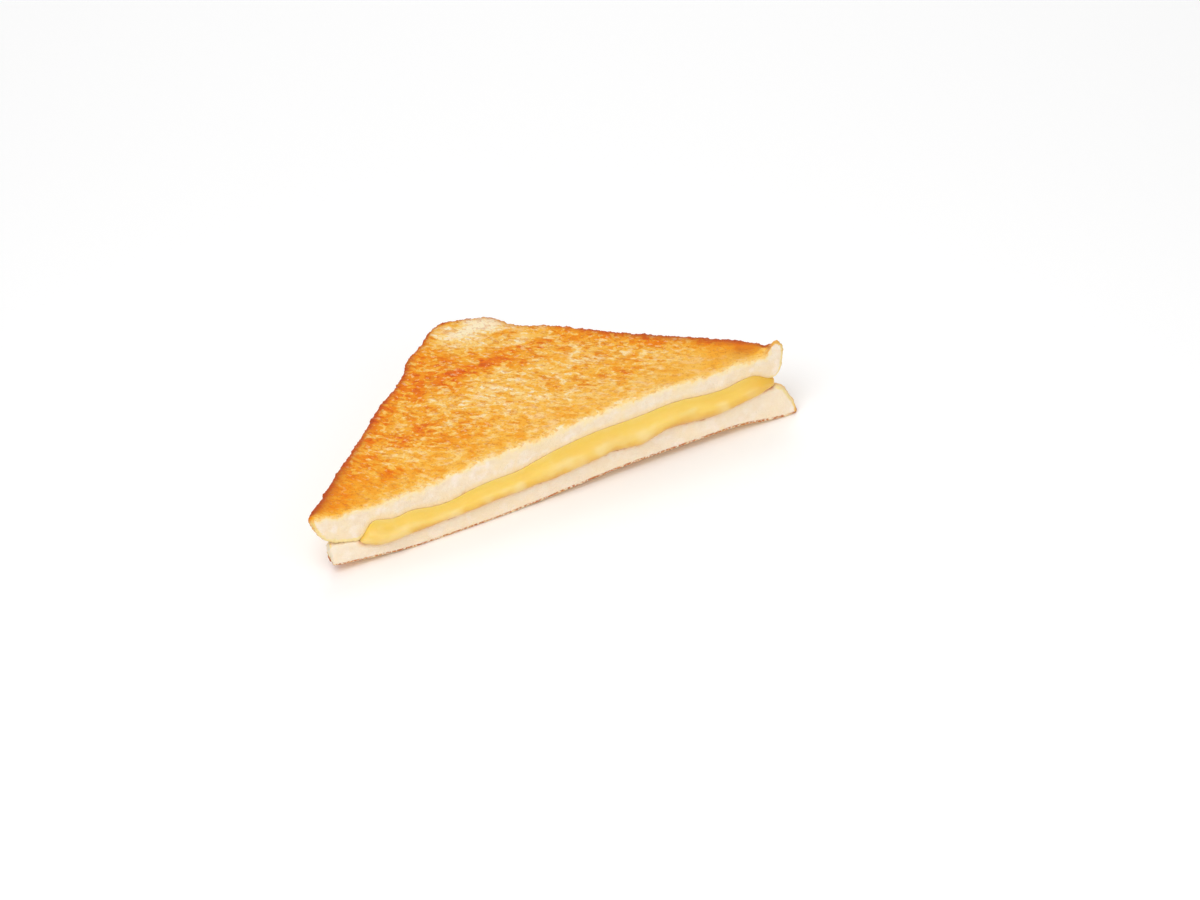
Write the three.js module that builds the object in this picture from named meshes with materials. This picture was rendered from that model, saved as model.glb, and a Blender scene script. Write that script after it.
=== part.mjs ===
// Half of a toasted cheese sandwich, cut corner to corner: two griddled slices of square
// white bread with a layer of melted cheese between them.
//
// Frame: millimetres, +X along the diagonal cut, +Y from the cut towards the loaf's corner,
// +Z up. The sandwich lies on its lower slice, and the origin is the middle of its footprint.
//
// Every piece is a closed skin through rings of points. All rings have the same stations, so
// that the faces that meet inside the sandwich have their corners at the same places.

import * as THREE from 'three';

const { lerp, smoothstep, clamp, degToRad } = THREE.MathUtils;

// ---- Driving dimensions -------------------------------------------------------------------

// Where each outline meets the line of the cut. The crusts run from there at about 45 degrees to
// the loaf's corner. A blunt left tip is cut off square this far before its point.
const UPPER_CRUST = { left: -81.4, right: 84.8 }; // the upper slice at its widest
const UPPER_SEAM = { left: -74.6, right: 80.9 }; // its lower edge, under the overhanging crust
const LOWER_SEAM = { left: -78.2, right: 80.9, blunt: 2.3 }; // the lower slice's upper edge
const LOWER_CRUST = { left: -80.3, right: 85.4, blunt: 4.4 }; // the lower slice at the table
const CHEESE_EDGE = { left: -66.8, right: 79.8 };

const CORNER_RADIUS = 12.6; // the loaf's rounded corner
const CORNER_LEAN = -1.5; // the corner lies this far off the middle of the cut
const TIP_RADIUS = 1.8; // the tips at the ends of the cut

const SHOULDER_SWELL = { left: 1.3, right: 1.8 }; // the crust swells beside the loaf's corner
const SHOULDER_AT = { left: 28, right: 15 }; // distance of that swelling from the square corner
const SHOULDER_PITCH = 27; // length of one swell and the dip after it
const CRUST_WOBBLE = 0.25; // slow unevenness of the crust line

const EDGE_ROUND = 1.7; // rounding between the upper slice's griddled face and its crust
const UNDER_ROUND = 0.6; // the same on the lower slice
const CUT_ROUND = 0.35; // rounding between a griddled face and the cut
const RIM_WIDTH = 4.2; // the crust's own width, which the griddle leaves thicker
const RIM_RISE = 1; // height of the crust over the pressed crumb
const LEVELS = 22; // the griddled face, wavy at the cut, is even this far behind it

const EAR_RISE = 4.3; // the upper slice's right tip curls up to a blunt ear
const EAR_STARTS = [77.2, 80.2]; // which rises steeply between these places along the cut
const EAR_WIDTH = 3; // its reach away from the cut
const EAR_ROUND = { inward: 3.4, down: 4.3 }; // rounding of its outer end

const SEAM_LEFT = 11.8; // the slices meet at this height along the left crust
const SEAM_SINKS = { slope: 0.45, from: 4.9, fades: 20 }; // at the cut their seam slopes down inwards
// from this distance inside the crust; the slope fades out over this distance behind the cut
const SEAM_RIGHT = { upper: 15.8, lower: 12.6 }; // the slices nearly meet along the right crust
const PINCH_LEFT = [10, 15]; // the slices part round the cheese this far inside the left crust
const PINCH_RIGHT = [3.2, 8.5]; // and this far inside the right one
const CHEESE_THINS = 1.4; // the cheese is this much thinner on each side, well inside the cut
const CUT_FLARE = 30; // and spreads to its full thickness over this distance before the cut

const CHEESE_RUN = 1; // how far the cheese has run out of the cut
const RUN_WAVE = 0.45; // unevenness of that run
const DROOP = 0.5; // how far its lip hangs over the lower slice

const TIP_LIFT = 3.5; // the left tip of the underside curls up off the table
const FOOT = [-46, -25]; // the underside lies flat between these places along the cut
const ARCH_RISE = 2.7; // to their right the crumb stands clear of the table
const ARCH_CREST = 34;
const ARCH_START = [0.5, 16]; // and comes down to the right crust between these distances inside it

const GAP = 0.45; // left between neighbouring pieces

// ---- Heights over the table ---------------------------------------------------------------

// A smooth curve through a few [x, height] stations, level beyond the last ones.
function profile(...stations) {
  const xs = stations.map(([x]) => x);
  const curve = new THREE.CubicInterpolant(xs, stations.map(([, z]) => z), 1);
  return (x) => curve.evaluate(clamp(x, xs[0], xs.at(-1)))[0];
}

// The griddled face of the upper slice, inside its raised crust: at the cut and well behind it.
const griddledAtCut = profile(
  [-82, 22.7], [-64, 21.3], [-46, 20.7], [-30, 22.5], [-8, 23.8], [14, 25.1], [32, 26.3], [50, 25.7],
  [62, 25.1], [70, 25.6], [77, 24.9], [86, 24.4],
);
const griddledBehind = profile([-82, 22.7], [-30, 23.3], [0, 25.1], [26, 24.5], [80, 25.4]);
// The cheese's upper and lower side at the cut.
const cheeseTop = profile(
  [-70, 14.7], [-61, 14.9], [-53, 12.7], [-49, 13.6], [-38, 11.9], [-22, 13.9], [-10, 14.3], [-3, 15.9],
  [16, 18.5], [32, 18.6], [46, 19.3], [62, 17.6], [70, 18.8], [84, 17.6],
);
const cheeseBottom = profile(
  [-67, 8.6], [-60, 7.1], [-46, 7], [-15, 8.2], [0, 8.7], [14, 10], [22, 11.2], [31, 9.8], [41, 12.2],
  [53, 10.7], [65, 11.4], [78, 13.4],
);

// Distance inside the upper slice's left and right crusts.
const insideLeft = (x, y) => (x - UPPER_CRUST.left - y) * Math.SQRT1_2;
const insideRight = (x, y) => (UPPER_CRUST.right - x - y) * Math.SQRT1_2;

// A bell of height 1 at distance 0.
const bell = (distance, width) => Math.exp(-((distance / width) ** 2));

function upperOuter(x, y) {
  const griddled = lerp(griddledAtCut(x), griddledBehind(x), smoothstep(y, 0, LEVELS));
  const leftRim = bell(Math.max(insideLeft(x, y), 0), RIM_WIDTH);
  const rightRim = bell(Math.max(insideRight(x, y), 0), RIM_WIDTH);
  const ear = smoothstep(x, ...EAR_STARTS) * bell(y, EAR_WIDTH);
  return griddled + RIM_RISE * (leftRim + rightRim) + EAR_RISE * ear;
}

// A slice's face towards the cheese: level along the right crust, sloping along the left one, and
// parted by the cheese inside them.
function innerFace(x, y, atCheese, aboveSeam, rightSeam) {
  const fromRight = lerp(rightSeam, atCheese, smoothstep(insideRight(x, y), ...PINCH_RIGHT));
  const sunk = SEAM_SINKS.slope * Math.max(insideLeft(x, y) - SEAM_SINKS.from, 0);
  const leftSeam = SEAM_LEFT - sunk * (1 - smoothstep(y, 0, SEAM_SINKS.fades)) + aboveSeam;
  return lerp(leftSeam, fromRight, smoothstep(insideLeft(x, y), ...PINCH_LEFT));
}

const thinned = (y) => CHEESE_THINS * smoothstep(y, 0, CUT_FLARE);
const upperInner = (x, y) => innerFace(x, y, cheeseTop(x) - thinned(y), GAP / 2, SEAM_RIGHT.upper);
const lowerInner = (x, y) => innerFace(x, y, cheeseBottom(x) + thinned(y), -GAP / 2, SEAM_RIGHT.lower);

function lowerOuter(x, y) {
  const toTip = (FOOT[0] - x) / (FOOT[0] - LOWER_CRUST.left - LOWER_CRUST.blunt);
  const lift = TIP_LIFT * clamp(toTip, 0, 1) ** 1.2;
  const arch = ARCH_RISE * smoothstep(x, FOOT[1], ARCH_CREST) * smoothstep(insideRight(x, y), ...ARCH_START);
  return lift + arch;
}

// ---- Outlines -----------------------------------------------------------------------------

const STATIONS = { cut: 42, crust: 17, corner: 8, tip: 3 }; // steps along each stretch of an outline
const CROWDING = 0.5; // how much closer the steps of a straight stretch lie at its ends

// Points round a corner-to-corner half slice, anticlockwise from its left tip: the cut, the right
// crust, the loaf's corner and the left crust.
function outline({ left, right, blunt = 0 }) {
  const points = [];
  const arc = (cx, cy, radius, from, to, count) => {
    for (let i = 0; i <= count; i++) {
      const angle = degToRad(lerp(from, to, i / count));
      points.push(new THREE.Vector2(cx + radius * Math.cos(angle), cy + radius * Math.sin(angle)));
    }
  };
  // The points between the last one and the start of what follows it.
  const line = (x, y, count) => {
    const start = points.at(-1);
    const end = new THREE.Vector2(x, y);
    for (let i = 1; i < count; i++) {
      const share = i / count - CROWDING * Math.sin(2 * Math.PI * i / count) / (2 * Math.PI);
      points.push(start.clone().lerp(end, share));
    }
  };
  const cornerX = (left + right) / 2 + CORNER_LEAN;
  const cornerY = (right - left) / 2 - CORNER_RADIUS * Math.SQRT2;
  const onCorner = CORNER_RADIUS * Math.SQRT1_2;
  if (blunt > 0) {
    points.push(new THREE.Vector2(left + blunt, blunt));
    line(left + blunt, 0, STATIONS.tip);
    points.push(new THREE.Vector2(left + blunt, 0));
  } else arc(left + TIP_RADIUS, TIP_RADIUS, TIP_RADIUS, 135, 270, STATIONS.tip);
  line(right - TIP_RADIUS, 0, STATIONS.cut);
  arc(right - TIP_RADIUS, TIP_RADIUS, TIP_RADIUS, -90, 45, STATIONS.tip);
  line(cornerX + onCorner, cornerY + onCorner, STATIONS.crust);
  arc(cornerX, cornerY, CORNER_RADIUS, 45, 135, STATIONS.corner);
  line(points[0].x, points[0].y, STATIONS.crust);
  return points.map(uneven);
}

// Moves a point of an outline for the swell beside the loaf's corner and a slow wobble, the same
// way on every outline. The cut stays straight.
function uneven(point) {
  const middle = (UPPER_CRUST.left + UPPER_CRUST.right) / 2;
  const fromCorner = Math.hypot(point.x - middle, point.y - (UPPER_CRUST.right - middle));
  const side = clamp((point.x - middle) / CORNER_RADIUS, -1, 1);
  const rightward = (side + 1) / 2;
  const fromSwell = fromCorner - lerp(SHOULDER_AT.left, SHOULDER_AT.right, rightward);
  const height = lerp(SHOULDER_SWELL.left, SHOULDER_SWELL.right, rightward);
  const wave = Math.cos(2 * Math.PI * fromSwell / SHOULDER_PITCH);
  const swell = height * wave * bell(fromSwell, SHOULDER_PITCH * 0.6);
  const wobble = CRUST_WOBBLE * (Math.sin(fromCorner / 6.1 + side) + Math.sin(fromCorner / 10.7 - 2 * side));
  const push = (swell + wobble) * smoothstep(point.y, 0, 12) * Math.SQRT1_2;
  return new THREE.Vector2(point.x + side * push, point.y + push);
}

const meanOf = (points) =>
  points.reduce((sum, p) => sum.addScaledVector(p, 1 / points.length), points[0].clone().set(0, 0));

// ---- Rings --------------------------------------------------------------------------------

// Puts plan points on a surface.
const onSurface = (points, surface) => points.map((p) => new THREE.Vector3(p.x, p.y, surface(p.x, p.y)));

// Plan points drawn in towards their middle, at each share of their distance from it.
function drawnIn(points, shares) {
  const middle = meanOf(points);
  return shares.map((share) => points.map((p) => middle.clone().lerp(p, share)));
}

// A closed skin through the rings, with a fan of triangles to a middle point at each end. Each
// four-sided patch is split along its shorter diagonal in plan, so that two faces over the same
// plan points have the same creases.
function skin(rings, firstMiddle, lastMiddle) {
  const count = rings[0].length;
  const vertices = [...rings.flat(), firstMiddle, lastMiddle];
  const [first, last] = [rings.length * count, rings.length * count + 1];
  const lastRing = (rings.length - 1) * count;
  const apart = (a, b) => Math.hypot(vertices[a].x - vertices[b].x, vertices[a].y - vertices[b].y);
  const index = [];
  for (let i = 0; i < count; i++) {
    const next = (i + 1) % count;
    index.push(first, i, next);
    index.push(last, lastRing + next, lastRing + i);
    for (let start = 0; start < lastRing; start += count) {
      const [a, b, c, d] = [start + i, start + count + i, start + count + next, start + next];
      index.push(...(apart(a, c) < apart(b, d) ? [a, b, c, a, c, d] : [a, b, d, b, c, d]));
    }
  }
  const geometry = new THREE.BufferGeometry().setFromPoints(vertices);
  geometry.setIndex(index);
  geometry.computeVertexNormals();
  return geometry;
}

// ---- The cheese's plan, which both slices' inner faces share ------------------------------

const CHEESE_SHARES = [0.96, 0.87, 0.7, 0.47, 0.22];
const cheeseOutline = outline(CHEESE_EDGE);
const cheesePlan = [cheeseOutline, ...drawnIn(cheeseOutline, CHEESE_SHARES)];
const cheeseMiddle = meanOf(cheeseOutline);
const middleOn = (surface) => onSurface([cheeseMiddle], surface)[0];

// ---- The bread ----------------------------------------------------------------------------

const FACE_SHARES = [0.96, 0.9, 0.79, 0.61, 0.4, 0.18];
const ROUND_STEPS = [25, 55, 90]; // degrees round the edge of the griddled face
const WALL_STEPS = [0.35, 0.65, 0.87, 1]; // shares of the crust's height below that edge

// One slice, from the middle of its griddled face round to the middle of its inner face.
// inset and round say how the griddled face is rounded off: how much shorter its two ends are, and
// how far it drops at a point. sag is how much of the crust's slope comes late, next to the seam.
function slice({ crust, seam, outer, inner, inset, round, sag }) {
  const widest = outline(crust);
  const flatEdge = outline({ ...crust, left: crust.left + inset.left, right: crust.right - inset.right });
  const seamEdge = outline(seam);
  const leftEnd = crust.left + (crust.blunt ?? 0);
  const facing = Math.sign(outer(0, 20) - inner(0, 20));
  const rounded = ROUND_STEPS.map((angle) => {
    const inward = 1 - Math.sin(degToRad(angle));
    const drop = 1 - Math.cos(degToRad(angle));
    return widest.map((p, i) => {
      const toEnd = Math.min(p.x - leftEnd, crust.right - p.x);
      const onCut = (1 - smoothstep(p.y, 0, 2)) * smoothstep(toEnd, 0.5, 3);
      const x = lerp(p.x, flatEdge[i].x, inward);
      const y = lerp(p.y, flatEdge[i].y, inward) + CUT_ROUND * inward * onCut;
      return new THREE.Vector3(x, y, outer(x, y) - facing * drop * lerp(round(p), CUT_ROUND, onCut));
    });
  });
  const rim = rounded.at(-1);
  const wall = WALL_STEPS.map((share) => {
    const inward = lerp(share, 1 - Math.sqrt(1 - share * share), sag);
    return rim.map((p, i) => {
      const x = lerp(p.x, seamEdge[i].x, inward);
      const y = lerp(p.y, seamEdge[i].y, inward);
      return new THREE.Vector3(x, y, lerp(p.z, inner(seamEdge[i].x, seamEdge[i].y), share));
    });
  });
  const face = drawnIn(rounded[0].map((p) => new THREE.Vector2(p.x, p.y)), FACE_SHARES);
  const faceMiddle = meanOf(face[0]);
  const rings = [
    ...face.toReversed().map((points) => onSurface(points, outer)),
    ...rounded,
    ...wall,
    ...cheesePlan.map((points) => onSurface(points, inner)),
  ];
  const geometry = skin(rings, onSurface([faceMiddle], outer)[0], middleOn(inner));
  if (facing < 0) geometry.index.array.reverse();
  return geometry;
}

const upperSlice = () => slice({
  crust: UPPER_CRUST,
  seam: UPPER_SEAM,
  outer: upperOuter,
  inner: upperInner,
  inset: { left: EDGE_ROUND * Math.SQRT2, right: EAR_ROUND.inward },
  round: ({ x, y }) => {
    const fromTip = Math.hypot(x - UPPER_CRUST.right, y);
    return lerp(EDGE_ROUND, EAR_ROUND.down, bell(fromTip, EAR_WIDTH));
  },
  sag: 0.7,
});
const lowerSlice = () => slice({
  crust: LOWER_CRUST,
  seam: LOWER_SEAM,
  outer: lowerOuter,
  inner: lowerInner,
  inset: { left: UNDER_ROUND, right: UNDER_ROUND },
  round: () => UNDER_ROUND,
  sag: 1,
});

// ---- The cheese ---------------------------------------------------------------------------

// The lip that has run out of the cut, from its upper to its lower edge: out as a share of the
// run, level as a share of the way down the layer, droop as a share of DROOP.
const LIP = [
  { out: 0.6, level: 0.08, droop: 0 },
  { out: 0.93, level: 0.36, droop: 0 },
  { out: 1, level: 0.7, droop: 0.2 },
  { out: 0.86, level: 1, droop: 0.8 },
  { out: 0.4, level: 1, droop: 1 },
];
const LIP_FADES = 7; // the lip fades out over this distance before the layer's two ends

function cheese() {
  const roof = (x, y) => upperInner(x, y) - GAP;
  const base = (x, y) => lowerInner(x, y) + GAP;
  const run = (x) => CHEESE_RUN + RUN_WAVE * (0.6 * Math.sin(x / 4.7) + 0.4 * Math.sin(x / 2.3 + 1));
  const lip = LIP.map(({ out, level, droop }) => cheeseOutline.map((p) => {
    const toEnd = Math.min(p.x - CHEESE_EDGE.left, CHEESE_EDGE.right - p.x);
    const free = (1 - smoothstep(p.y, 0, 2)) * smoothstep(toEnd, 1, LIP_FADES);
    const z = lerp(roof(p.x, p.y), base(p.x, p.y), lerp(clamp(level, 0.1, 0.9), level, free));
    return new THREE.Vector3(p.x, p.y - free * (GAP / 2 + run(p.x) * out), z - free * DROOP * droop);
  }));
  const rings = [
    ...cheesePlan.toReversed().map((points) => onSurface(points, roof)),
    ...lip,
    ...cheesePlan.map((points) => onSurface(points, base)),
  ];
  return skin(rings, middleOn(roof), middleOn(base));
}

// ---- Assembly -----------------------------------------------------------------------------

function piece(name, geometry, color, roughness) {
  const material = new THREE.MeshStandardMaterial({ color, roughness, metalness: 0 });
  const mesh = new THREE.Mesh(geometry, material);
  mesh.name = name;
  return mesh;
}

const sandwich = new THREE.Group();
sandwich.add(piece('bread_bottom', lowerSlice(), '#e9cfa6', 0.85));
sandwich.add(piece('cheese', cheese(), '#f6cf5f', 0.4));
sandwich.add(piece('bread_top', upperSlice(), '#eba84e', 0.8));

// The origin is the middle of the footprint, on the table.
const box = new THREE.Box3().setFromObject(sandwich);
const middle = box.getCenter(new THREE.Vector3());
sandwich.position.set(-middle.x, -middle.y, -box.min.z);

export default sandwich;
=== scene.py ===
import math

import bpy
import numpy as np
from mathutils import Matrix, Vector
from mathutils.bvhtree import BVHTree
from mathutils.kdtree import KDTree


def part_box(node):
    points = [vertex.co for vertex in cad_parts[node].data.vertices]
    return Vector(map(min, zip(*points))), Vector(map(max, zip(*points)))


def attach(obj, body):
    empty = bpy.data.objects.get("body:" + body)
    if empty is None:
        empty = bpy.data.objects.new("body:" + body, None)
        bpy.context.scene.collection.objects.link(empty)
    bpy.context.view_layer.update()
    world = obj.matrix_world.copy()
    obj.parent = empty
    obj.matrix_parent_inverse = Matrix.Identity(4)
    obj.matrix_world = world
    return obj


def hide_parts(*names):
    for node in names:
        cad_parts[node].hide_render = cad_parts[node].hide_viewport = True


# Half of a toasted cheese sandwich, cut corner to corner, lying on a white table.
#
# Each piece starts as a fine, even copy of its CAD solid. Its points are then moved for the relief
# of griddled bread, crust, torn crumb or melted cheese, and they hold the masks that the materials
# read, such as browning, crust and crumb. Lengths are in millimetres and angles in degrees. Places
# on the sandwich are given along the cut, from its middle to the right, and away from the cut.

MM = 0.001

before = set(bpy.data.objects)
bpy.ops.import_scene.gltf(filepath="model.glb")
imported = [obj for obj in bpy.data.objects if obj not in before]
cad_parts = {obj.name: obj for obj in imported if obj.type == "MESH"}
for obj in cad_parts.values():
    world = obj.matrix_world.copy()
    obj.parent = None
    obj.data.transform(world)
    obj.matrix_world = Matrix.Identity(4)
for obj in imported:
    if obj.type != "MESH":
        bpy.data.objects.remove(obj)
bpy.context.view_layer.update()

upper_low, upper_high = (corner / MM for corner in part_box("bread_top"))
CUT = upper_low.y  # the plane of the cut
MIDDLE = (upper_low.x + upper_high.x) / 2  # the middle of the cut


# ---- Camera, lights and table ----------------------------------------------------------------

AZIMUTH = 19.89  # the camera stands this far to the left of the cut's normal
ELEVATION = 33.22
ROLL = 8.15  # the picture is tilted clockwise by this much
DISTANCE = 4000
FOCAL_LENGTH = 377.66
SENSOR = 36
NEAREST, FARTHEST = 100, 20000  # what the camera sees
AIM = (22.16, -20.93, 0)  # the point in the middle of the picture

WHITE = (1, 1, 1, 1)
WORLD_LIGHT = 0.52
# Each soft square light: its direction as (azimuth, elevation), distance, size and power in watts
LIGHTS = {
    "key": ((-40, 55), 900, 500, 3.3),
    "front": ((15, 25), 1000, 700, 1.3),
    "back": ((150, 55), 1000, 500, 1.5),
    "behind": ((165, 12), 1100, 900, 1.6),
}

TABLE_HALF = 6000
TABLE_COLOUR = (0.96, 0.96, 0.96, 1)
TABLE_GLOW = 0.07  # keeps the table white around the sandwich


def add_camera():
    data = bpy.data.cameras.new("camera")
    data.sensor_width = SENSOR
    data.lens = FOCAL_LENGTH
    data.clip_start = NEAREST * MM
    data.clip_end = FARTHEST * MM
    camera = bpy.data.objects.new("camera", data)
    bpy.context.scene.collection.objects.link(camera)
    turn = (
        Matrix.Rotation(math.radians(-AZIMUTH), 4, "Z")
        @ Matrix.Rotation(math.radians(90 - ELEVATION), 4, "X")
        @ Matrix.Rotation(math.radians(-ROLL), 4, "Z")
    )
    backwards = turn @ Vector((0, 0, DISTANCE * MM))
    camera.matrix_world = Matrix.Translation(Vector(AIM) * MM + backwards) @ turn
    bpy.context.scene.camera = camera


def add_light(name, direction, distance, size, power):
    data = bpy.data.lights.new(name, "AREA")
    data.size = size * MM
    data.energy = power
    light = bpy.data.objects.new(name, data)
    bpy.context.scene.collection.objects.link(light)
    azimuth, elevation = (math.radians(angle) for angle in direction)
    towards = Vector((
        math.sin(azimuth) * math.cos(elevation),
        -math.cos(azimuth) * math.cos(elevation),
        math.sin(elevation),
    ))
    light.location = towards * distance * MM
    light.rotation_mode = "QUATERNION"
    light.rotation_quaternion = (-towards).to_track_quat("-Z", "Y")


def add_studio():
    scene = bpy.context.scene
    scene.view_settings.view_transform = "Standard"
    world = bpy.data.worlds.new("studio")
    world.use_nodes = True
    background = world.node_tree.nodes["Background"]
    background.inputs["Color"].default_value = WHITE
    background.inputs["Strength"].default_value = WORLD_LIGHT
    scene.world = world
    for name, settings in LIGHTS.items():
        add_light(name, *settings)


def add_table():
    half = TABLE_HALF * MM
    mesh = bpy.data.meshes.new("table")
    corners = [(-half, -half, 0), (half, -half, 0), (half, half, 0), (-half, half, 0)]
    mesh.from_pydata(corners, [], [(0, 1, 2, 3)])
    table = bpy.data.objects.new("table", mesh)
    bpy.context.scene.collection.objects.link(table)
    material = bpy.data.materials.new("table_white")
    material.use_nodes = True
    surface = material.node_tree.nodes["Principled BSDF"]
    surface.inputs["Base Color"].default_value = TABLE_COLOUR
    surface.inputs["Roughness"].default_value = 0.6
    surface.inputs["Emission Color"].default_value = WHITE
    surface.inputs["Emission Strength"].default_value = TABLE_GLOW
    mesh.materials.append(material)


# ---- Noise -----------------------------------------------------------------------------------

SCATTER = (374761393, 668265263, 2246822519, 3266489917)  # large odd numbers that mix bits well
NOISE_GAIN = 1.7  # brings the noise to about -1 to 1
ROUGH_GAIN = 1.3  # the same for layers of noise, which partly cancel out


def random_at(cells, salt):
    """A random-looking number from 0 to 1 for each row of whole coordinates."""
    n = sum(cells[:, axis].astype(np.uint32) * np.uint32(SCATTER[axis]) for axis in range(3))
    n = n + np.uint32(salt * SCATTER[3] & 0xFFFFFFFF)
    n = (n ^ (n >> np.uint32(15))) * np.uint32(SCATTER[2])
    n = (n ^ (n >> np.uint32(13))) * np.uint32(SCATTER[3])
    return (n ^ (n >> np.uint32(16))) / 2.0**32


def noise(points, size, seed):
    """Smooth noise of about -1 to 1 whose features have the given size."""
    scaled = points / size
    cell = np.floor(scaled).astype(np.int64)
    inside = scaled - cell
    fade = inside**3 * (inside * (inside * 6 - 15) + 10)
    total = np.zeros(len(points))
    for corner in np.ndindex(2, 2, 2):
        corner = np.array(corner)
        weight = np.where(corner, fade, 1 - fade).prod(axis=1)
        for axis in range(3):
            slope = random_at(cell + corner, seed * 3 + axis) * 2 - 1
            total += weight * slope * (inside - corner)[:, axis]
    return total * NOISE_GAIN


def rough_noise(points, size, seed, octaves=3, gain=0.55):
    """Noise with finer noise on top, each layer half the size of the last."""
    layers = [gain**i * noise(points, size / 2**i, seed + i) for i in range(octaves)]
    return sum(layers) / sum(gain**i for i in range(octaves)) * ROUGH_GAIN


def bubbles(points, size, seed, share):
    """Round dents: 1 in the middle of a bubble, falling to 0 at its edge. Only this share of the
    cells, each of the given size, holds a bubble."""
    scaled = points / size
    cell = np.floor(scaled).astype(np.int64)
    deepest = np.zeros(len(points))
    for offset in np.ndindex(3, 3, 3):
        near = cell + np.array(offset) - 1
        centre = near + np.stack([random_at(near, seed + axis) for axis in range(3)], axis=1)
        radius = 0.25 + 0.4 * random_at(near, seed + 3)
        held = random_at(near, seed + 4) < share
        closeness = 1 - np.linalg.norm(scaled - centre, axis=1) / radius
        deepest = np.maximum(deepest, np.where(held, closeness, 0))
    return deepest


def ramp(value, start, end):
    """0 up to start, 1 from end, and a smooth slope between them."""
    t = np.clip((value - start) / (end - start), 0, 1)
    return t * t * (3 - 2 * t)


def bell(distance, width):
    """1 at no distance, about a third at the width, and close to 0 from twice the width."""
    return np.exp(-((distance / width) ** 2))


# ---- Fine meshes -----------------------------------------------------------------------------

SEARCH_FROM = 100  # how far above or below the table the search for a node's face starts
INSET = 0.985  # a place is looked up at this share of its distance from the node's middle
BEHIND_CUT = 0.3  # and at least this far behind the plane of the cut


def fine_copy(node, name, voxel, smoothing):
    """A closed, evenly meshed copy of a CAD node, with the solid's facets smoothed away."""
    piece = bpy.data.objects.new(name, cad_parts[node].data.copy())
    bpy.context.scene.collection.objects.link(piece)
    piece.data.materials.clear()
    remesh = piece.modifiers.new("remesh", "REMESH")
    remesh.mode = "VOXEL"
    remesh.voxel_size = voxel * MM
    smooth = piece.modifiers.new("smooth", "SMOOTH")
    smooth.iterations = smoothing
    evaluated = piece.evaluated_get(bpy.context.evaluated_depsgraph_get())
    piece.data = bpy.data.meshes.new_from_object(evaluated)
    piece.modifiers.clear()
    piece.data.shade_smooth()
    return piece


def positions(piece):
    """The piece's points, in millimetres."""
    flat = np.empty(len(piece.data.vertices) * 3)
    piece.data.vertices.foreach_get("co", flat)
    return flat.reshape(-1, 3) / MM


def normals(piece):
    flat = np.empty(len(piece.data.vertices) * 3)
    piece.data.vertex_normals.foreach_get("vector", flat)
    return flat.reshape(-1, 3)


def move(piece, shifts):
    moved = (positions(piece) + shifts) * MM
    piece.data.vertices.foreach_set("co", moved.ravel())
    piece.data.update()


def store(piece, masks):
    """Keeps numbers for each point, by name, for the material."""
    for name, values in masks.items():
        attribute = piece.data.attributes.new(name, "FLOAT", "POINT")
        attribute.data.foreach_set("value", values.astype(np.float32))


def stand_for(piece, node):
    """Puts the piece in its CAD node's place."""
    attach(piece, "root")
    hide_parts(node)


def depth_under(node, points, side):
    """How deep each point lies under the node's face on that side: 1 is its top, -1 its bottom.
    The face is looked up a little further in, so that a point at the very edge finds it too."""
    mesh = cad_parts[node].data
    tree = BVHTree.FromPolygons([v.co for v in mesh.vertices], [p.vertices for p in mesh.polygons])
    low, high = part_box(node)
    middle = (low + high) / 2 / MM
    depths = np.empty(len(points))
    for i, (x, y, z) in enumerate(points):
        x = middle.x + (x - middle.x) * INSET
        y = max(middle.y + (y - middle.y) * INSET, CUT + BEHIND_CUT)
        start = Vector((x * MM, y * MM, side * SEARCH_FROM * MM))
        hit = tree.ray_cast(start, Vector((0, 0, -side)))[0]
        depths[i] = side * (hit.z / MM - z) if hit else 0
    return depths


def distance_to(points, others):
    """How far each point is from the nearest of the others."""
    tree = KDTree(len(others))
    for i, place in enumerate(others):
        tree.insert(place, i)
    tree.balance()
    return np.array([tree.find(place)[2] for place in points])


# ---- The bread -------------------------------------------------------------------------------

UPPER, LOWER = 1, -1  # a slice's griddled face is its top or its bottom
SEEDS = {UPPER: 10, LOWER: 50}

BREAD_VOXEL = 0.46
BREAD_SMOOTHING = 4
CRUST_THICKNESS = 1.3  # the crust's outline on the cut face
FACET_CRUST_THICKNESS = 0.5  # the same at the lower slice's left end
END_LENGTH = {UPPER: 17, LOWER: 6}  # the left end, where that outline follows another edge
ABOVE_TABLE = 0.02  # where the lower slice's relief ends
MOST_DEPTH = 30  # the materials read no greater depth
EAR_FROM = (78.2, 79.0)  # where the upper slice's curled right tip begins
NOTCH = 77.8  # the dent before it
NOTCH_WIDTH = 1.0
NOTCH_DEPTH = 1.0
LOWER_TIP = 1.2  # how far the lower slice's right tip stands out further
PRESSED_IN = 0.2  # how far the slices' inner faces sink into the cheese
EAR_BARE = 8  # the toast keeps off the ear, as if the ear lay this far outside the cut
FACET_PAINTED_LIGHT = 0.6  # how strongly painted light brightens the facet at the lower slice's left end where it faces left
SMUDGE = (71, 6)  # a brown smudge beside the notch, along and from the cut
SMUDGE_SIZE = (5, 3)

# How far coarse, medium and fine noise move each kind of surface in and out
ROUGHNESS = {
    "griddled": (0.1, 0.1, 0.1),
    "crust": (0.3, 0.25, 0.12),
    "cut_face": (0.1, 0.04, 0.03),
}

BASE_BROWNING = 0.48  # from 0, white, to 1, dark brown
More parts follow.
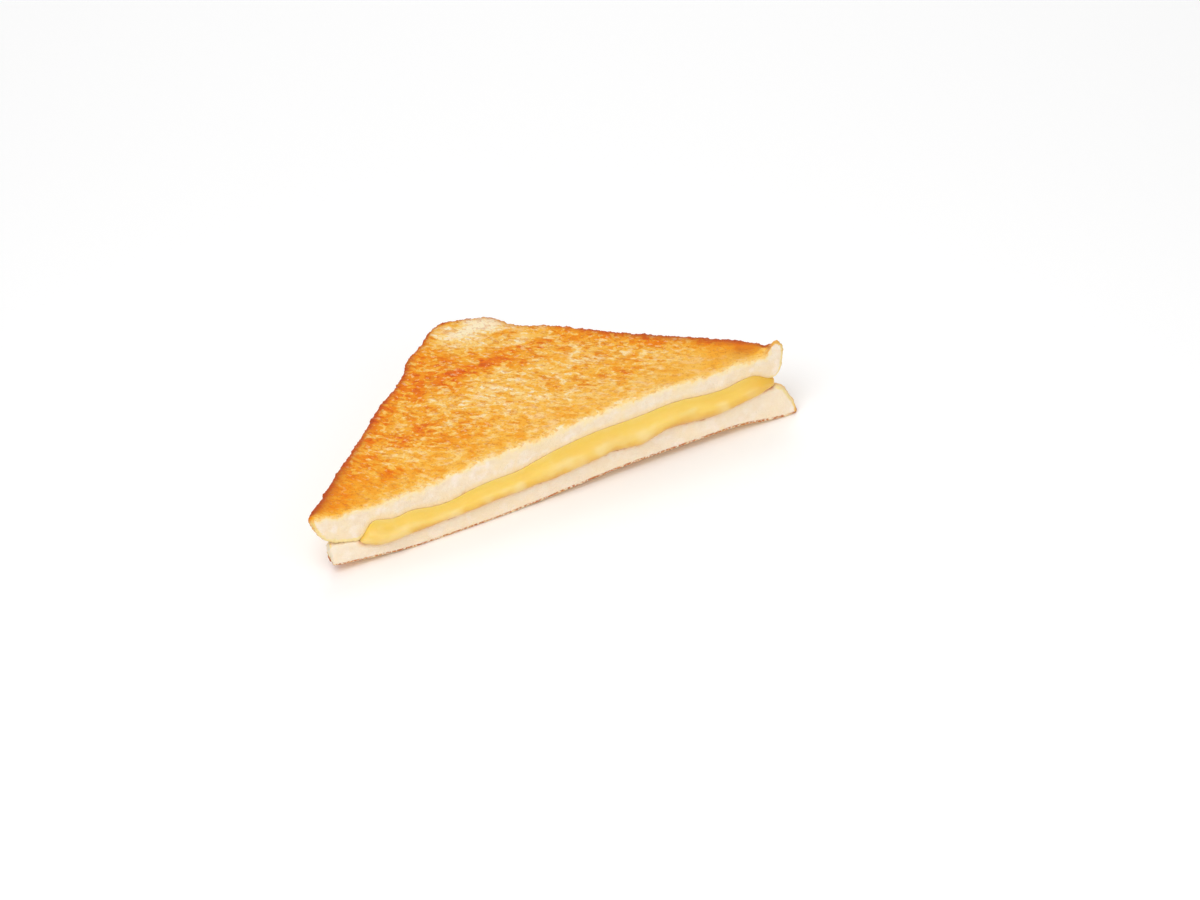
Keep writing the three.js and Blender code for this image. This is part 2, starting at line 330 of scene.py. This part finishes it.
# Where the griddle browned the upper slice more (+) or less (-): the patch's middle along and
# from the cut, its half length and half width, how far it is turned, and its strength.
PATCHES = [
    (-14, 49, 14, 6, 0, 0.36),
    (-22, 44, 8, 5, 0, 0.08),
    (8, 48, 10, 5, 0, 0.16),
    (-32, 28, 11, 5, 10, 0.3),
    (-62, 14, 22, 6, 45, 0.14),
    (-30, 45, 22, 6, 45, 0.12),
    (-50, 11, 7, 3, 10, 0.16),
    (-12, 62, 8, 5, 45, 0.22),
    (-32, 14, 26, 10, 0, 0.08),
    (40, 40, 14, 4, -45, 0.22),
    (66, 16, 22, 5, -45, 0.22),
    (38, 20, 9, 5, -10, 0.16),
    (14, 45, 9, 5, 0, 0.16),
    (30, 52, 6, 3, -45, 0.14),
    (-2, 69, 9, 6, 0, -0.5),
    (11, 67, 9, 5, -30, -0.4),
    (23, 57, 12, 3, -42, -0.22),
    (-18, 60, 5, 4, 45, 0.14),
    (-8, 30, 12, 8, 0, -0.14),
    (27, 34, 7, 5, 0, -0.05),
    (8, 20, 12, 8, 0, -0.1),
    (49, 20, 7, 5, 0, -0.13),
    (-1, 4, 8, 4, 0, -0.1),
    (-70, 5, 8, 5, 0, 0.12),
    (-41, 37, 5, 5, 45, 0.17),
    (-40, 12, 6, 4, 0, -0.1),
    (-29, 38, 6, 4, 0, -0.08),
    (29, 20, 5, 4, 0, 0.1),
]


class Slice:
    """The points of a slice's smooth mesh, with the relief and the masks worked out from them.
    A mask says how far each point is part of something, from 0 to 1."""

    def __init__(self, node, piece, side):
        self.side = side
        self.seed = SEEDS[side]
        self.points = positions(piece)
        self.outward = normals(piece)
        self.along = self.points[:, 0] - MIDDLE
        self.from_cut = self.points[:, 1] - CUT
        self.depth = depth_under(node, self.points, side)  # under the griddled face
        self.facing = side * self.outward[:, 2]  # 1 on the griddled face, -1 at the cheese
        self.inside = self.distance_from_crust()
        self.left_leg = ramp(-self.along, -10, 10)
        self.right_leg = ramp(self.along, 4, 14)
        self.past_notch = self.along - NOTCH + 0.6 * noise(self.points, 2.5, self.seed + 70)
        self.coarse = rough_noise(self.points, 5.0, self.seed)
        self.medium = rough_noise(self.points, 1.8, self.seed + 5)
        self.fine = rough_noise(self.points, 0.9, self.seed + 9, octaves=2)
        pits = bubbles(self.points, 2.0, self.seed + 20, 0.4)
        self.griddle_relief = self.roughness("griddled") - 0.2 * pits
        self.find_surfaces()
        self.find_crumb()

    def distance_from_crust(self):
        flat = self.points * (1, 1, 0)
        upright = np.abs(self.outward[:, 2]) < 0.6
        crust = upright & (self.from_cut > 1.5) & (self.depth < 4)
        return distance_to(flat, flat[crust])

    def find_surfaces(self):
        self.cut_face = ramp(-self.outward[:, 1], 0.6, 0.85) * (1 - ramp(self.from_cut, 0.3, 0.9))
        elsewhere = 1 - self.cut_face
        self.ear = ramp(self.along, *EAR_FROM) * (1 - ramp(self.from_cut, 2, 4)) * (self.side == UPPER)
        shallow = 1 - ramp(self.depth, 1.0, 2.5)
        self.griddled = ramp(self.facing, 0.35, 0.75) * shallow * elsewhere * (1 - self.ear)
        self.inner = ramp(-self.facing, 0.5, 0.8) * ramp(self.inside, 4, 6) * elsewhere
        self.crust = np.clip(elsewhere - self.griddled - self.inner, 0, 1)
        self.left_end = self.points[:, 0] < self.points[:, 0].min() + END_LENGTH[self.side]
        self.end_facet = self.left_end * (1 - ramp(self.from_cut, 4, 6.5)) * (self.side == LOWER)

    def find_crumb(self):
        """The white crumb, which shows at the cut, at the cheese, on the ear and on the facet."""
        at_cut = ramp(-self.outward[:, 1], 0.05, 0.3) * (1 - ramp(self.from_cut, 0.5, 1.2))
        on_ear = self.ear * ramp(self.facing, -0.3, 0.3)
        self.crumb = np.maximum.reduce([self.inner, at_cut, on_ear, self.end_facet])

    def skin(self):
        """The crust's outline on the crumb."""
        brown = self.crust > 0.6
        thickness = CRUST_THICKNESS
        if self.side == UPPER:
            edge = brown | self.left_end & (self.facing < -0.5)
        else:
            ridge = (self.end_facet > 0) & (np.abs(self.outward[:, 0] - self.outward[:, 1]) < 0.2)
            edge = brown & ~self.left_end | ridge
            thickness = np.where(self.left_end, FACET_CRUST_THICKNESS, CRUST_THICKNESS)
        edge &= self.from_cut < 4
        return self.crumb * bell(distance_to(self.points, self.points[edge]), thickness)

    def roughness(self, surface):
        layers = (self.coarse, self.medium, self.fine)
        return sum(share * layer for share, layer in zip(ROUGHNESS[surface], layers))

    def relief(self):
        """How far each point is moved outwards."""
        pores = bubbles(self.points, 1.8, self.seed + 30, 0.3)
        holes = bubbles(self.points, 3.2, self.seed + 40, 0.06)
        flatter_at_cut = 0.3 + 0.7 * ramp(self.from_cut, 0.5, 3)
        crust_relief = self.roughness("crust") - 0.3 * pores - 0.15
        cut_relief = self.roughness("cut_face") - 0.12 * pores - 0.45 * holes
        rim = bell(self.inside, 1.6) * (1 - self.cut_face)
        lumps = 0.45 * rough_noise(self.points, 2.8, self.seed + 11) + 0.25 * self.fine
        return (
            self.griddled * flatter_at_cut * self.griddle_relief
            + self.crust * crust_relief
            + self.cut_face * cut_relief
            + rim * lumps
            + PRESSED_IN * self.inner
        )

    def shift(self):
        """The relief, with the upper slice's notch and the lower slice's tip."""
        shift = self.outward * self.relief()[:, None]
        if self.side == UPPER:
            near_cut = 1 - ramp(self.from_cut, 5, 9)
            notch = bell(self.past_notch, NOTCH_WIDTH) * ramp(self.facing, 0.0, 0.5) * near_cut
            shift[:, 2] -= NOTCH_DEPTH * notch
        else:
            shift[:, 0] += LOWER_TIP * ramp(self.along, 72, 82) * (1 - ramp(self.depth, 2, 8))
        shift[:, 2] = np.maximum(shift[:, 2], ABOVE_TABLE - self.points[:, 2])
        return shift

    def browning(self):
        """How dark the griddled face is, from blotches, patches and its browner edges."""
        blotches = rough_noise(self.points, 7.0, self.seed + 60, octaves=3, gain=0.7)
        browning = BASE_BROWNING + 0.1 * blotches + 0.2 * self.griddle_relief
        if self.side == UPPER:
            browning += self.patches()
        edges = 0.3 * bell(self.inside, 1.2) + 0.16 * bell(self.inside, 5)
        return browning + edges * (self.left_leg + 0.8 * self.right_leg)

    def patches(self):
        total = np.zeros(len(self.points))
        for along, from_cut, length, width, turn, strength in PATCHES:
            dx = self.along - along
            dy = self.from_cut - from_cut
            c, s = math.cos(math.radians(turn)), math.sin(math.radians(turn))
            off_middle = np.hypot((dx * c + dy * s) / length, (dy * c - dx * s) / width)
            total += strength * bell(off_middle, 1)
        return total

    def contrast(self):
        """How strongly the toast is flecked: less near the cut and towards both ends."""
        near_cut = 1 - ramp(self.from_cut, 6, 22)
        right = ramp(self.along, 30, 60) * (1 - ramp(self.from_cut, 12, 25))
        left = ramp(-self.along, 45, 65)
        return 1 - (0.45 * near_cut + 0.45 * right + 0.25 * left)

    def rim(self):
        """The brown rim of the griddled face, wider and darker towards both ends; on the right leg it is
        partly painted shade where the rim curves away from the light. On the upper slice it adds painted
        shade in the notch's crease and the brown beside it."""
        # partly painted shade: the right leg's rim is darkened where it turns away from the light
        right = self.right_leg * (0.5 + 0.45 * ramp(self.along, 20, 50))
        right_width = 1.8 + ramp(self.along, 30, 55)
        left = self.left_leg * (0.7 + 0.3 * ramp(-self.along, 55, 75))
        left_width = 1.7 + ramp(-self.along, 35, 65)
        corner = 0.85 * (1 - ramp(np.abs(self.along), 10, 20))
        rim = right * bell(self.inside, right_width) + left * bell(self.inside, left_width)
        rim = np.maximum(rim, corner * bell(self.inside, 1.5)) * ramp(self.from_cut, 1, 3)
        if self.side == UPPER:
            # painted shade in the crease of the notch
            notch = (0.55 + 0.4 * self.medium) * bell(self.past_notch, 0.6)
            dx = (self.along - SMUDGE[0]) / SMUDGE_SIZE[0]
            dy = (self.from_cut - SMUDGE[1]) / SMUDGE_SIZE[1]
            smudge = (0.4 + 0.3 * self.medium) * bell(np.hypot(dx, dy), 1)
            rim = np.maximum.reduce([rim, notch, smudge])
        return np.clip(rim, 0, 1)


def make_slice(node, name, side, lip):
    """A toasted slice, griddled on that side. lip holds the points of the cheese at the cut."""
    piece = fine_copy(node, name, BREAD_VOXEL, BREAD_SMOOTHING)
    shape = Slice(node, piece, side)
    move(piece, shape.shift())
    depth = np.clip(shape.depth, 0, MOST_DEPTH)
    store(piece, {
        "browning": shape.browning(),
        "griddled": shape.griddled,
        "crumb": shape.crumb,
        "skin": shape.skin(),
        "near_cheese": distance_to(shape.points * (1, 0, 1), lip * (1, 0, 1)),
        "depth": depth,
        "past_cut": shape.from_cut - depth - EAR_BARE * shape.ear,
        "rim": shape.rim(),
        # painted light on the facet where it faces left
        "facet": FACET_PAINTED_LIGHT * shape.end_facet * ramp(-shape.outward[:, 0], 0.3, 0.7),
        "lower": np.full(len(depth), float(side == LOWER)),
        "contrast": shape.contrast(),
    })
    stand_for(piece, node)
    return piece


# ---- The cheese ------------------------------------------------------------------------------

CHEESE_VOXEL = 0.42
CHEESE_SMOOTHING = 24
SWELL = 0.45  # how far the cheese swells into both slices, so that no gap shows
LIP_SWELL = 0.15  # how much further it swells outside the cut
LIP_WAVES = 0.7  # the height of the waves along its lip
LIP_OUT = 0.5  # how far the lip is drawn out of the cut
LIP_RISE = 1.0  # how far its top edge is raised to meet the upper slice
LIP_SLOPE = 0.8  # how far its top half leans back, as a share of what stands out
DRAWN_IN = 1.2  # how far its edges inside the crusts are drawn in from the CAD solid's
DRAWN_IN_WAVES = 1.3  # how much that varies
DRAWN_IN_AT_CORNER = 6.5  # how much more it is by the loaf's corner
HEART = 25  # they are drawn towards the point that lies this far behind the middle of the cut
THINNED = 0.7  # the share of its thickness that it loses towards the loaf's corner
LIP_REACH = 0.6  # the lip's points lie up to this far behind the plane of the cut


def make_cheese():
    """The melted layer, pressed against both slices, with a smooth lip that has run out of the cut."""
    piece = fine_copy("cheese", "melted_cheese", CHEESE_VOXEL, CHEESE_SMOOTHING)
    points, outward = positions(piece), normals(piece)
    from_cut = points[:, 1] - CUT
    outside = 1 - ramp(from_cut, -0.4, 1.0)
    from_top = depth_under("cheese", points, 1)
    from_bottom = depth_under("cheese", points, -1)
    rise = np.clip(from_bottom / np.maximum(from_top + from_bottom, 0.5), 0, 1)

    # Swollen between the slices, with waves along the lip
    along_cut = points * (1, 0, 0.7)
    waves = noise(along_cut, 14, 5) + 0.35 * noise(along_cut, 6, 6)
    swell = SWELL + outside * (LIP_SWELL + LIP_WAVES * waves) * bell(rise - 0.35, 0.4)
    shift = outward * swell[:, None]

    # Drawn in from the crusts
    flat = points * (1, 1, 0)
    wall = (np.abs(outward[:, 2]) < 0.5) & (from_cut > 2)
    drawn_in = DRAWN_IN + DRAWN_IN_WAVES * noise(flat, 9, 7) + DRAWN_IN_AT_CORNER * ramp(from_cut, 30, 50)
    drawn_in *= (1 - ramp(distance_to(flat, flat[wall]), 0, 12)) * ramp(from_cut, 1, 8)
    inwards = np.array([MIDDLE, CUT + HEART, 0]) - flat
    inwards /= np.linalg.norm(inwards, axis=1)[:, None]
    shift += inwards * drawn_in[:, None]

    # A lip with a sloping top
    shift[:, 1] -= LIP_OUT * outside
    shift[:, 2] += LIP_RISE * outside * ramp(rise, 0.75, 0.98)
    stands_out = np.maximum(-from_cut - shift[:, 1], 0)
    shift[:, 1] += LIP_SLOPE * stands_out * ramp(rise, 0.45, 0.95)

    # Thinner towards the loaf's corner
    shift[:, 2] -= THINNED * np.clip(from_bottom, 0, 8) * ramp(from_cut, 48, 68)

    move(piece, shift)
    store(piece, {
        "rise": rise,
        # where the lip's waves swell out, which the material lightens as a painted highlight
        "waves": outside * (waves + 0.2) * bell(rise - 0.42, 0.25),
        "deep": ramp(points[:, 0] - MIDDLE, 62, 74),
    })
    stand_for(piece, "cheese")
    return piece


# ---- Materials -------------------------------------------------------------------------------


def linear(value):
    """A screen's value of 0 to 255 as the linear light of 0 to 1 that it stands for."""
    share = value / 255
    return ((share + 0.055) / 1.055) ** 2.4 if value > 10 else share / 12.92


def srgb(red, green, blue):
    """A colour given as a screen's values, as the shader wants it."""
    return (linear(red), linear(green), linear(blue), 1)


MIX_A, MIX_B, MIX_RESULT = 6, 7, 2  # the sockets of a mix node that hold colours


class Shader:
    """A material's node tree, with short calls for the nodes that these materials use."""

    def __init__(self, name):
        self.material = bpy.data.materials.new(name)
        self.material.use_nodes = True
        self.tree = self.material.node_tree
        self.surface = self.tree.nodes["Principled BSDF"]
        self.place = self.tree.nodes.new("ShaderNodeTexCoord").outputs["Object"]
        turn = self.tree.nodes.new("ShaderNodeVectorRotate")
        turn.rotation_type = "Z_AXIS"
        turn.inputs["Angle"].default_value = math.radians(45)
        self.tree.links.new(self.place, turn.inputs["Vector"])
        self.turned = turn.outputs["Vector"]

    def feed(self, socket, value):
        if isinstance(value, bpy.types.NodeSocket):
            self.tree.links.new(value, socket)
        else:
            socket.default_value = value

    def attribute(self, name):
        node = self.tree.nodes.new("ShaderNodeAttribute")
        node.attribute_name = name
        return node.outputs["Fac"]

    def noise(self, size, detail=2.0, roughness=0.5, shift=0.0, twist=0.0, stretch=1.0):
        """Noise of 0 to 1 with features of a size in millimetres. Another shift gives another noise.
        stretch makes the features that much longer along the slice's right crust."""
        place = self.tree.nodes.new("ShaderNodeVectorMath")
        place.operation = "MULTIPLY_ADD"
        self.feed(place.inputs[0], self.turned)
        place.inputs[1].default_value = (1 / (size * stretch * MM), 1 / (size * MM), 1 / (size * MM))
        place.inputs[2].default_value = (shift,) * 3
        node = self.tree.nodes.new("ShaderNodeTexNoise")
        node.inputs["Scale"].default_value = 1
        node.inputs["Detail"].default_value = detail
        node.inputs["Roughness"].default_value = roughness
        node.inputs["Distortion"].default_value = twist
        self.feed(node.inputs["Vector"], place.outputs[0])
        return node.outputs["Fac"]

    def spots(self, start, end, size, **settings):
        """Spots of noise: 0 where the noise is up to start, and 1 where it is at least end."""
        return self.ramp(self.noise(size, **settings), start, end)

    def jitter(self, amount, size, **settings):
        """Noise from minus to plus the amount."""
        return self.spread(self.noise(size, **settings), -amount, amount)

    def specks(self, size, radius, share):
        """1 inside small round specks: one in this share of the cells of the given size."""
        node = self.tree.nodes.new("ShaderNodeTexVoronoi")
        node.inputs["Scale"].default_value = 1 / (size * MM)
        self.feed(node.inputs["Vector"], self.place)
        near = self.ramp(node.outputs["Distance"], radius / size, 0.4 * radius / size)
        kept = self.math("LESS_THAN", node.outputs["Color"], share)
        return self.product(near, kept)

    def math(self, operation, a, b):
        node = self.tree.nodes.new("ShaderNodeMath")
        node.operation = operation
        self.feed(node.inputs[0], a)
        self.feed(node.inputs[1], b)
        return node.outputs[0]

    def chain(self, operation, values):
        total = values[0]
        for value in values[1:]:
            total = self.math(operation, total, value)
        return total

    def sum(self, *values):
        return self.chain("ADD", values)

    def product(self, *values):
        return self.chain("MULTIPLY", values)

    def ramp(self, value, start, end):
        """0 up to start, 1 from end, and a smooth slope between them."""
        node = self.tree.nodes.new("ShaderNodeMapRange")
        node.interpolation_type = "SMOOTHSTEP"
        self.feed(node.inputs["Value"], value)
        node.inputs["From Min"].default_value = start
        node.inputs["From Max"].default_value = end
        return node.outputs["Result"]

    def spread(self, value, low, high):
        """value, from 0 to 1, brought to low to high."""
        node = self.tree.nodes.new("ShaderNodeMapRange")
        self.feed(node.inputs["Value"], value)
        node.inputs["To Min"].default_value = low
        node.inputs["To Max"].default_value = high
        return node.outputs["Result"]

    def colours(self, value, stops):
        """The colour at value on a scale of (position, colour) stops."""
        node = self.tree.nodes.new("ShaderNodeValToRGB")
        elements = node.color_ramp.elements
        while len(elements) < len(stops):
            elements.new(1)
        for element, (position, colour) in zip(elements, stops):
            element.position = position
            element.color = colour
        self.feed(node.inputs["Fac"], value)
        return node.outputs["Color"]

    def mix(self, share, a, b):
        node = self.tree.nodes.new("ShaderNodeMix")
        node.data_type = "RGBA"
        self.feed(node.inputs["Factor"], share)
        self.feed(node.inputs[MIX_A], a)
        self.feed(node.inputs[MIX_B], b)
        return node.outputs[MIX_RESULT]

    def tint(self, colour, other, *shares):
        """colour, mixed with the other one by the product of the shares."""
        return self.mix(self.product(*shares), colour, other)

    def bump(self, height, distance):
        node = self.tree.nodes.new("ShaderNodeBump")
        node.inputs["Distance"].default_value = distance * MM
        self.feed(node.inputs["Height"], height)
        return node.outputs["Normal"]

    def complete(self, colour, relief, height, settings):
        """The finished material, with this colour, bump and other settings of its surface."""
        self.feed(self.surface.inputs["Base Color"], colour)
        self.feed(self.surface.inputs["Normal"], self.bump(relief, height))
        for name, value in settings.items():
            self.feed(self.surface.inputs[name], value)
        return self.material


# The griddled face's colours, from untoasted bread to the darkest brown of its rim
TOAST = [
    (0.0, srgb(254, 236, 196)),
    (0.11, srgb(254, 220, 152)),
    (0.24, srgb(252, 204, 112)),
    (0.39, srgb(249, 184, 66)),
    (0.53, srgb(244, 158, 34)),
    (0.64, srgb(240, 134, 18)),
    (0.76, srgb(234, 108, 12)),
    (0.88, srgb(214, 80, 14)),
    (1.0, srgb(176, 54, 16)),
]
TOAST_SPAN = 1.25  # the browning at the end of that scale
CREAM = srgb(252, 218, 172)
GLINT_CREAM = srgb(255, 226, 170)
STROKE_BROWN = srgb(206, 104, 24)
CRISP_BROWN = srgb(200, 112, 44)
PORE_BROWN = srgb(196, 104, 36)
RIM_BROWN_AND_SHADE = srgb(182, 78, 34)

CRUMB = [(0.3, srgb(240, 218, 188)), (0.5, srgb(245, 226, 200)), (0.7, srgb(248, 233, 212))]
YELLOW_CRUMB = srgb(248, 223, 176)
WHITE_CRUMB = srgb(253, 238, 226)
LOWER_CRUMB_PAINTED_LIGHT = srgb(255, 238, 214)
FACET_PAINTED_LIGHT_CRUMB = srgb(254, 238, 208)
BROWN_SPECK = srgb(176, 140, 96)
LIGHT_TOAST = srgb(251, 228, 172)
BY_CHEESE_UPPER = srgb(247, 216, 160)
BY_CHEESE_LOWER = srgb(237, 198, 146)
PAINTED_LIP_SHADOW = srgb(202, 134, 92)
SCORCHED = srgb(190, 106, 52)

# The crust's colours on its side and where the cut shows its thickness, from the griddled face down
CRUST = [
    (0.0, srgb(200, 100, 40)),
    (0.12, srgb(224, 142, 64)),
    (0.3, srgb(243, 188, 104)),
    (0.6, srgb(250, 210, 140)),
    (1.0, srgb(253, 222, 164)),
]
CUT_CRUST = [(0.0, srgb(236, 172, 84)), (0.25, srgb(246, 208, 122)), (0.6, srgb(249, 224, 160))]
CRUST_SPAN = 9.0  # the depth at the end of both scales
CRUST_BROWN = srgb(236, 162, 88)
CRUST_FLECK = srgb(204, 130, 66)


def toast_colour(shader, past_cut):
    """The griddled face: its browning in blotches, strokes and flecks, with cream and brown specks
    between them, small pale specks of painted highlight, and a brown rim that is partly painted shade.
    The browning fades towards the cut."""
    contrast = shader.attribute("contrast")
    strokes = shader.spots(0.45, 0.55, 3.0, detail=3, twist=0.6, stretch=1.7)
    dark_strokes = shader.spots(0.54, 0.62, 1.7, detail=3, shift=20, twist=0.6, stretch=2.0)
    pale_flecks = shader.spots(0.56, 0.62, 1.8, roughness=0.4, shift=80, twist=0.4, stretch=1.6)
    flecks = shader.sum(
        shader.jitter(0.3, 7.0, shift=120),
        shader.spread(strokes, -0.07, 0.09),
        shader.spread(dark_strokes, -0.03, 0.1),
        shader.spread(pale_flecks, 0.03, -0.25),
        shader.jitter(0.16, 0.9, roughness=0.6, shift=40, stretch=1.4),
    )
    browning = shader.sum(
        shader.attribute("browning"),
        shader.product(flecks, contrast),
        shader.spread(shader.ramp(past_cut, -1.2, 3.0), -0.34, 0),
    )
    toast = shader.colours(shader.math("DIVIDE", browning, TOAST_SPAN), TOAST)
    creamy = shader.spots(0.52, 0.66, 2.6, shift=160, stretch=1.4)
    toast = shader.tint(toast, CREAM, creamy, shader.ramp(browning, 0.6, 0.4), 0.4)
    toast = shader.tint(toast, STROKE_BROWN, dark_strokes, contrast, 0.3)
    crisp = shader.spots(0.58, 0.63, 1.1, roughness=0.6, shift=200, stretch=1.8)
    toast = shader.tint(toast, CRISP_BROWN, crisp, 0.3)
    pores = shader.spots(0.6, 0.7, 0.6, detail=1, shift=440)
    toast = shader.tint(toast, PORE_BROWN, pores, 0.35)
    # painted highlights: small pale specks standing in for glints on the toast
    painted_glints = shader.spots(0.6, 0.65, 1.2, roughness=0.6, shift=320, stretch=1.6)
    toast = shader.tint(toast, GLINT_CREAM, painted_glints, contrast, 0.4)
    # the rim's brown, partly painted shade on the right leg and in the notch
    return shader.tint(toast, RIM_BROWN_AND_SHADE, shader.attribute("rim"))


def crumb_colour(shader, toast, past_cut):
    """The mottled crumb on the cut. It turns to light toast at the griddled face, is tinted beside the
    cheese, carries a painted shadow under the cheese's lip on the lower slice, and is outlined by the
    crust and by the lower slice's scorched bottom edge."""
    lower = shader.attribute("lower")
    facet = shader.attribute("facet")
    depth = shader.attribute("depth")
    crumb = shader.colours(shader.noise(2.6, detail=3, roughness=0.6), CRUMB)
    crumb = shader.tint(crumb, YELLOW_CRUMB, shader.spots(0.42, 0.62, 10.0, shift=360), 0.5)
    crumb = shader.tint(crumb, WHITE_CRUMB, shader.spots(0.54, 0.66, 5.0, shift=400), 0.5)
    # painted light: the lower slice's crumb is lightened to make up for the shade from the table
    crumb = shader.tint(crumb, LOWER_CRUMB_PAINTED_LIGHT, lower, 0.4)
    crumb = shader.tint(crumb, BROWN_SPECK, shader.specks(2.2, 0.3, 0.12))
    # painted light: the left-facing facet at the lower slice's left end is lightened
    crumb = shader.tint(crumb, FACET_PAINTED_LIGHT_CRUMB, facet)
    crumb = shader.tint(crumb, LIGHT_TOAST, shader.ramp(past_cut, -2.6, -0.6), 0.75)
    crumb = shader.tint(crumb, toast, shader.ramp(past_cut, -1.1, -0.2), 0.8)

    near_cheese = shader.sum(shader.attribute("near_cheese"), shader.jitter(0.5, 1.4))
    beside_cheese = shader.mix(lower, BY_CHEESE_UPPER, BY_CHEESE_LOWER)
    crumb = shader.tint(crumb, beside_cheese, shader.ramp(near_cheese, 2.2, 0.2), 0.7)
    # painted shadow: a broken brown line on the lower crumb just under the cheese's lip
    lip_shadow = shader.product(shader.ramp(near_cheese, 1.1, 0.6), shader.spots(0.42, 0.55, 9.0), lower)
    crumb = shader.tint(crumb, PAINTED_LIP_SHADOW, lip_shadow)

    skin = shader.sum(shader.attribute("skin"), shader.jitter(0.35, 1.2, roughness=0.6))
    cut_crust = shader.colours(
        shader.sum(
            shader.math("DIVIDE", depth, CRUST_SPAN), shader.jitter(0.3, 1.4, detail=3, roughness=0.6)
        ),
        CUT_CRUST,
    )
    crumb = shader.tint(crumb, cut_crust, shader.ramp(skin, 0.35, 0.7))
    return shader.tint(
        crumb,
        SCORCHED,
        shader.ramp(depth, 1.3, 0.8),
        lower,
        shader.ramp(facet, 0.3, 0.1),
        shader.spots(0.38, 0.56, 0.8, roughness=0.6),
        shader.spots(0.3, 0.5, 9.0, roughness=0.6, shift=60),
    )


def crust_colour(shader):
    """The baked side of the loaf: brown by the griddled face, pale tan below, with brown flecks."""
    depth = shader.math("DIVIDE", shader.attribute("depth"), CRUST_SPAN)
    crust = shader.colours(
        shader.sum(depth, shader.jitter(0.4, 2.6, detail=4, roughness=0.65)), CRUST
    )
    browner = shader.spots(0.38, 0.72, 6.0, detail=4, roughness=0.65, shift=240)
    crust = shader.tint(crust, CRUST_BROWN, browner, 0.6)
    return shader.tint(crust, CRUST_FLECK, shader.spots(0.62, 0.72, 1.2, shift=280), 0.45)


def bread_material():
    shader = Shader("toasted_bread")
    griddled = shader.attribute("griddled")
    past_cut = shader.sum(  # how far the toast is from its ragged edge at the cut
        shader.attribute("past_cut"),
        shader.spread(shader.attribute("lower"), 0, -1.2),
        shader.jitter(2.6, 3.5),
        shader.jitter(0.9, 1.0, roughness=0.6),
    )
    toast = toast_colour(shader, past_cut)
    crumb = crumb_colour(shader, toast, past_cut)
    untoasted = shader.mix(shader.attribute("crumb"), crust_colour(shader), crumb)
    colour = shader.tint(untoasted, toast, griddled, shader.ramp(past_cut, -1.6, -0.2))
    relief = shader.sum(
        shader.noise(0.5, detail=3, roughness=0.6), shader.noise(1.1, roughness=0.6)
    )
    return shader.complete(colour, relief, 0.22, {
        "Roughness": shader.spread(griddled, 0.85, 0.55),
        "Subsurface Weight": 0.12,
        "Subsurface Radius": (1.0, 0.6, 0.35),
        "Subsurface Scale": 1.0 * MM,
        "Specular IOR Level": 0.08,
    })


# The cheese's colours, from its bottom edge to its top, with painted shade at the bottom edge under the
# lip and just below the top edge under the upper slice
CHEESE_WITH_PAINTED_SHADE = [
    (0.0, srgb(220, 162, 84)),
    (0.18, srgb(235, 186, 76)),
    (0.4, srgb(243, 205, 97)),
    (0.6, srgb(244, 207, 97)),
    (0.85, srgb(242, 202, 84)),
    (1.0, srgb(244, 206, 112)),
]
SWELL_HIGHLIGHT = srgb(242, 212, 132)
GOLDEN_CHEESE = srgb(240, 194, 70)
CHEESE_HIGHLIGHT = srgb(246, 222, 154)
DEEP_CHEESE = srgb(236, 184, 62)


def cheese_material():
    shader = Shader("melted_cheese")
    rise = shader.sum(shader.attribute("rise"), shader.jitter(0.15, 4.0))
    # colours by height, with painted shade at the bottom edge and just below the top
    colour = shader.colours(rise, CHEESE_WITH_PAINTED_SHADE)
    # painted highlight: paler where the lip's waves swell out
    pale = shader.ramp(shader.sum(shader.attribute("waves"), shader.jitter(0.3, 3.0)), 0.0, 0.5)
    colour = shader.tint(colour, SWELL_HIGHLIGHT, pale, 0.65)
    golden = shader.spots(0.42, 0.66, 12.0, detail=1, roughness=0.4, shift=90)
    colour = shader.tint(colour, GOLDEN_CHEESE, golden, 0.45)
    # painted highlights: soft pale patches over the lower half of the lip
    cheese_highlights = shader.spots(0.44, 0.66, 8.0, detail=1, roughness=0.4, shift=60)
    colour = shader.tint(colour, CHEESE_HIGHLIGHT, cheese_highlights, shader.ramp(rise, 0.7, 0.5), 0.6)
    colour = shader.tint(colour, DEEP_CHEESE, shader.attribute("deep"), 0.8)
    return shader.complete(colour, shader.noise(2.6, roughness=0.4), 0.1, {
        "Roughness": 0.3,
        "Subsurface Weight": 0.35,
        "Subsurface Radius": (1.0, 0.65, 0.2),
        "Subsurface Scale": 2.0 * MM,
    })


# ---- Assembly --------------------------------------------------------------------------------

add_camera()
add_studio()
add_table()

cheese = make_cheese()
cheese.data.materials.append(cheese_material())
cheese_points = positions(cheese)
lip = cheese_points[cheese_points[:, 1] < CUT + LIP_REACH]

bread = bread_material()
top_slice = make_slice("bread_top", "toasted_slice_top", UPPER, lip)
bottom_slice = make_slice("bread_bottom", "toasted_slice_bottom", LOWER, lip)
for slice_of_bread in (top_slice, bottom_slice):
    slice_of_bread.data.materials.append(bread)
